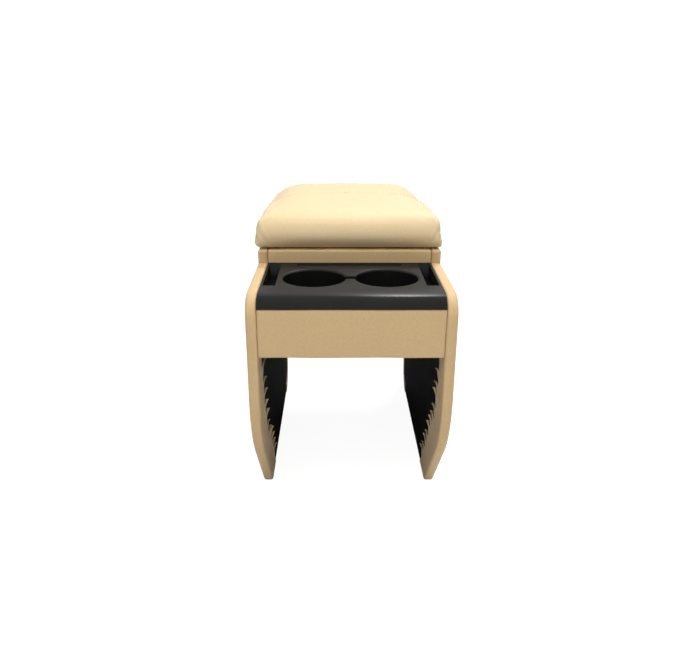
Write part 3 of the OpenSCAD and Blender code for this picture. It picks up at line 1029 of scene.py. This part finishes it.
# %% Seam, puckers and pleats
SEAM_F = 276 * MM
SEAM_BOW = 12 * MM
SEAM_DEPTH = 1.5 * MM
SEAM_WIDTH = 2.4 * MM
SEAM_FACES = -0.3
PUCKER = 0.35 * MM
PUCKER_EVERY = 11 * MM
PUCKER_REACH = 11 * MM
PLEAT = 1.3 * MM
PLEAT_EVERY = 10.5 * MM
PLEAT_Z = 15 * MM
PLEAT_ACROSS = 13 * MM
PLEAT_BACK = 22 * MM
PLEAT_TALL = 11 * MM
PLEAT_TWIST = 5 / (10 * MM)
BOARD_LINE = 10.5 * MM
BOARD_GROOVE = 0.12 * MM
GROOVE_REACH = 3.2 * MM
COVER_CLEAR = 1.0 * MM
BOARD_FREE = 7 * MM
CLEAR_ROUNDS = 2
SWELL = 0.4 * MM
SWELL_FACES = -0.5
SIDE_BULGE = {-1: 0.6 * MM, 1: -2.2 * MM}
LOW_SPREAD = {-1: 2.5 * MM, 1: 1.5 * MM}
LOW_SPREAD_AT = 0.14
LOW_SPREAD_REACH = 0.14
REAR_FALL = {-1: 9 * MM, 1: 13 * MM}
LOWEST = 0.05 * MM

half_lid = lid_high[0]


def seam_y(x):
    """The seam bows forward towards the sides."""
    return front_y + SEAM_F - SEAM_BOW * (x / half_lid) ** 2


def dip(distance, width):
    """A smooth hump: 1 where the distance is 0, and gone beyond about twice the width."""
    return math.exp(-((distance / width) ** 2))


def lid_push(spot, out):
    """How far a point of the lid moves along its own direction."""
    push = 0
    if out.z > SEAM_FACES:
        away = spot.y - seam_y(spot.x)
        push -= SEAM_DEPTH * dip(away, SEAM_WIDTH)
        beside = dip(away, PUCKER_REACH) * (1 - dip(away, SEAM_WIDTH * 1.3))
        wander = noise.noise(Vector((spot.x * 40, 3.1, 0)))
        push += PUCKER * beside * math.sin(2 * math.pi * (spot.x / PUCKER_EVERY + wander))
    height = spot.z - lid_low[2]
    side = 1 - abs(out.z)
    push -= BOARD_GROOVE * side * dip(height - BOARD_LINE, GROOVE_REACH)
    corner = dip(half_lid - abs(spot.x), PLEAT_ACROSS) * dip(spot.y - lid_low[1], PLEAT_BACK)
    around = (half_lid - abs(spot.x)) - (spot.y - lid_low[1])
    fold = math.sin(2 * math.pi * around / PLEAT_EVERY + PLEAT_TWIST * height)
    push += PLEAT * corner * dip(height - PLEAT_Z, PLEAT_TALL) * fold
    swell = noise.noise(spot * 22) * 0.9 + noise.noise(spot * 55) * 0.35
    push += SWELL * swell * (1 if out.z > SWELL_FACES else 0)
    return push if push > 0 else push * ease((height - BOARD_FREE) / BOARD_FREE)


def settle(spot):
    """The sides bulge or sink, spread near the board, and the rear corners are worn lower."""
    height = (spot.z - lid_low[2]) / (lid_high[2] - lid_low[2])
    length = (spot.y - lid_low[1]) / (lid_high[1] - lid_low[1])
    side = math.copysign(1, spot.x)
    aside = abs(spot.x) / half_lid
    out = SIDE_BULGE[side] * math.sin(math.pi * max(0, min(1, height)))
    out += LOW_SPREAD[side] * dip(height - LOW_SPREAD_AT, LOW_SPREAD_REACH)
    out *= ease((aside - 0.8) * 5)
    out *= 1 - 0.5 * ease((length - 0.7) * 3.3)
    fall = ease((aside - 0.6) * 2.5) * ease((length - 0.25) * 1.6) * ease((height - 0.3) * 2)
    return Vector((side * out, 0, -REAR_FALL[side] * fall))


def keep_clear(vert, out):
    """Moves a point out to the cover's place over the board; False where it needs no move."""
    near, _, _, gap = board.find_nearest(vert.co)
    away = vert.co - near
    outside = away.dot(out) >= 0
    if outside and gap >= COVER_CLEAR:
        return False
    way = away.normalized() if outside else -away.normalized()
    vert.co = near + (way if gap > WELD else out) * COVER_CLEAR
    return True


def soften(mesh, verts):
    """Moves each point halfway to the middle of its neighbours."""
    axes = {"use_axis_x": True, "use_axis_y": True, "use_axis_z": True}
    bmesh.ops.smooth_vert(mesh, verts=verts, factor=0.5, **axes)


mesh = bmesh.new()
mesh.from_mesh(lid.data)
bmesh.ops.subdivide_edges(mesh, edges=mesh.edges, cuts=1, use_grid_fill=True, smooth=0.0)
for _ in range(2):
    soften(mesh, mesh.verts)
mesh.normal_update()
moves = [lid_push(v.co, v.normal) for v in mesh.verts]
normals = [v.normal.copy() for v in mesh.verts]
for vert, move, out in zip(mesh.verts, moves, normals):
    vert.co += out * (move + SKIN)
    vert.co += settle(vert.co)
for _ in range(CLEAR_ROUNDS):
    tight = [v for v, out in zip(mesh.verts, normals) if keep_clear(v, out)]
    soften(mesh, tight)
for vert, out in zip(mesh.verts, normals):
    keep_clear(vert, out)
    vert.co.z = max(vert.co.z, lid_low[2] + LOWEST)
lid_data = lid.data
mesh.to_mesh(lid_data)
mesh.free()
# The cover takes the paler tan leather, painted light for its brightly lit top.
lid_data.materials.clear()
lid_data.materials.append(lid_leather_painted_light)
lid_data.shade_smooth()
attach(lid, "lid")
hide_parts("lid_cover", "lid_foam")
print("lid faces:", len(lid_data.polygons))

# %% [markdown]
# Two rows of stitches hold the seam down. Their path is found on the finished lid: a ray is
# dropped at each step across it, and the point where it lands is lifted by half a thread. The same
# Geometry Nodes tree that set the tongues then sets the stitches.

# %% Stitches
STITCH_LENGTH = 3.4 * MM
STITCH_SPACING = 4.6 * MM
STITCH_R = 0.38 * MM
STITCH_ROWS = (-4.2 * MM, 4.2 * MM)
STITCH_STEPS = 6
STITCH_SIDES = 8
SEAM_REACH = 0.955
SEAM_STEPS = 90
RAY_FROM = 1.0


def stitch_shape():
    """A thread's stitch along Y, sunk at both ends."""
    mesh = bmesh.new()
    rings = []
    for j in range(STITCH_STEPS + 1):
        t = j / STITCH_STEPS
        y = (t - 0.5) * STITCH_LENGTH
        bow = STITCH_R * (1.3 * math.sin(math.pi * t) - 0.55)
        radius = STITCH_R * (0.55 + 0.45 * math.sin(math.pi * t))
        ring = []
        for k in range(STITCH_SIDES):
            angle = 2 * math.pi * k / STITCH_SIDES
            place = (radius * math.cos(angle), y, bow + radius * math.sin(angle))
            ring.append(mesh.verts.new(place))
        rings.append(ring)
    for a, b in zip(rings, rings[1:]):
        for k in range(STITCH_SIDES):
            after = (k + 1) % STITCH_SIDES
            mesh.faces.new((a[k], a[after], b[after], b[k]))
    mesh.faces.new(rings[0])
    mesh.faces.new(list(reversed(rings[-1])))
    bmesh.ops.recalc_face_normals(mesh, faces=mesh.faces)
    return new_piece("stitch_pattern", mesh)


surface = BVHTree.FromObject(lid, bpy.context.evaluated_depsgraph_get())


def seam_path(shift):
    points = []
    for k in range(SEAM_STEPS + 1):
        x = half_lid * SEAM_REACH * (2 * k / SEAM_STEPS - 1)
        start = Vector((x, seam_y(x) + shift, RAY_FROM))
        spot, _, _, _ = surface.ray_cast(start, Vector((0, 0, -1)))
        if spot:
            points.append(spot + Vector((0, 0, STITCH_R * 0.3)))
    return points


pattern = stitch_shape()
for word, shift in zip(("front", "rear"), STITCH_ROWS):
    stitches = path_piece("lid_stitches_" + word, seam_path(shift))
    row.apply(stitches, Shape=pattern, Spacing=STITCH_SPACING, Tilt=0.03, Size_change=0.05,
              Seed=2, Material=thread)
    smooth(stitches, 60)
    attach(stitches, "lid")
    print(stitches.name, "faces:", len(stitches.data.polygons))
bpy.data.objects.remove(pattern)

# %% [markdown]
# The studio begins with a pale floor. It keeps the object's shadow, and a share of glow that only
# the camera sees lets it fade to white.

# %% Floor
FLOOR_SIZE = 6.0
FLOOR_WHITE = 0.8
GLOW_SHARE = 0.62
GLOW = 1.5


def floor_finish():
    floor = Finish("floor")
    floor.tree.nodes.remove(floor.shader)
    white = (FLOOR_WHITE, FLOOR_WHITE, FLOOR_WHITE, 1)
    matt = floor.wire("ShaderNodeBsdfDiffuse", feeds={"Color": white})
    glow = floor.wire("ShaderNodeEmission", feeds={"Color": (1, 1, 1, 1), "Strength": GLOW})
    rays = floor.node("ShaderNodeLightPath")
    share = Wire(floor, rays.outputs["Is Camera Ray"]) * GLOW_SHARE
    both = floor.wire("ShaderNodeMixShader", feeds={0: share, 1: matt, 2: glow})
    out = floor.tree.nodes["Material Output"]
    floor.feed(out.inputs["Surface"], both)
    return floor.material


mesh = bmesh.new()
bmesh.ops.create_grid(mesh, x_segments=1, y_segments=1, size=FLOOR_SIZE / 2)
floor = new_piece("floor", mesh, floor_finish())
floor.location = (0, 0, cad_low[2])

# %% [markdown]
# Four round lamps light the object: a wide one overhead, a small strong one behind, which alone is
# mirrored and so draws the streak on the tray, one in front, and a weak one low in front. The
# world is white where the camera or a mirror ray looks, and only a weak fill otherwise.

# %% Lamps and world
TOP_LAMP = {"size": 1.1, "power": 11.5, "at": (0.1, -0.35, 1.5), "aim": (0, -0.04, 0.2)}
BACK_LAMP = {"size": 0.5, "power": 19, "at": (0.48, 0.85, 1.8), "aim": (0, -0.04, 0.2)}
FRONT_LAMP = {"size": 0.9, "power": 7.0, "at": (-0.2, -1.2, 1.35), "aim": (0, 0, 0.18)}
LOW_LAMP = {"size": 1.0, "power": 1.0, "at": (0, -1.25, 0.12), "aim": (0, 0, 0.1)}
WORLD_FILL = 0.3


def area_lamp(name, size, power, at, aim, mirrored=False):
    lamp_data = bpy.data.lights.new(name, "AREA")
    lamp_data.shape = "DISK"
    lamp_data.size = size
    lamp_data.energy = power
    lamp = bpy.data.objects.new(name, lamp_data)
    lamp.location = at
    lamp.rotation_euler = (Vector(aim) - Vector(at)).to_track_quat("-Z", "Y").to_euler()
    lamp.visible_glossy = mirrored
    bpy.context.collection.objects.link(lamp)


area_lamp("top_lamp", **TOP_LAMP)
area_lamp("back_lamp", **BACK_LAMP, mirrored=True)
area_lamp("front_lamp", **FRONT_LAMP)
area_lamp("low_lamp", **LOW_LAMP)


def white_world():
    world = bpy.data.worlds.new("studio")
    world.use_nodes = True
    bpy.context.scene.world = world
    tree = world.node_tree
    background = tree.nodes["Background"]
    background.inputs["Color"].default_value = (1, 1, 1, 1)
    rays = tree.nodes.new("ShaderNodeLightPath")
    seen = tree.nodes.new("ShaderNodeMath")
    seen.operation = "MAXIMUM"
    tree.links.new(rays.outputs["Is Camera Ray"], seen.inputs[0])
    tree.links.new(rays.outputs["Is Glossy Ray"], seen.inputs[1])
    strength = tree.nodes.new("ShaderNodeMix")
    strength.inputs["A"].default_value = WORLD_FILL
    strength.inputs["B"].default_value = 1.0
    tree.links.new(seen.outputs["Value"], strength.inputs["Factor"])
    tree.links.new(strength.outputs["Result"], background.inputs["Strength"])


white_world()
bpy.context.scene.view_settings.view_transform = "Standard"
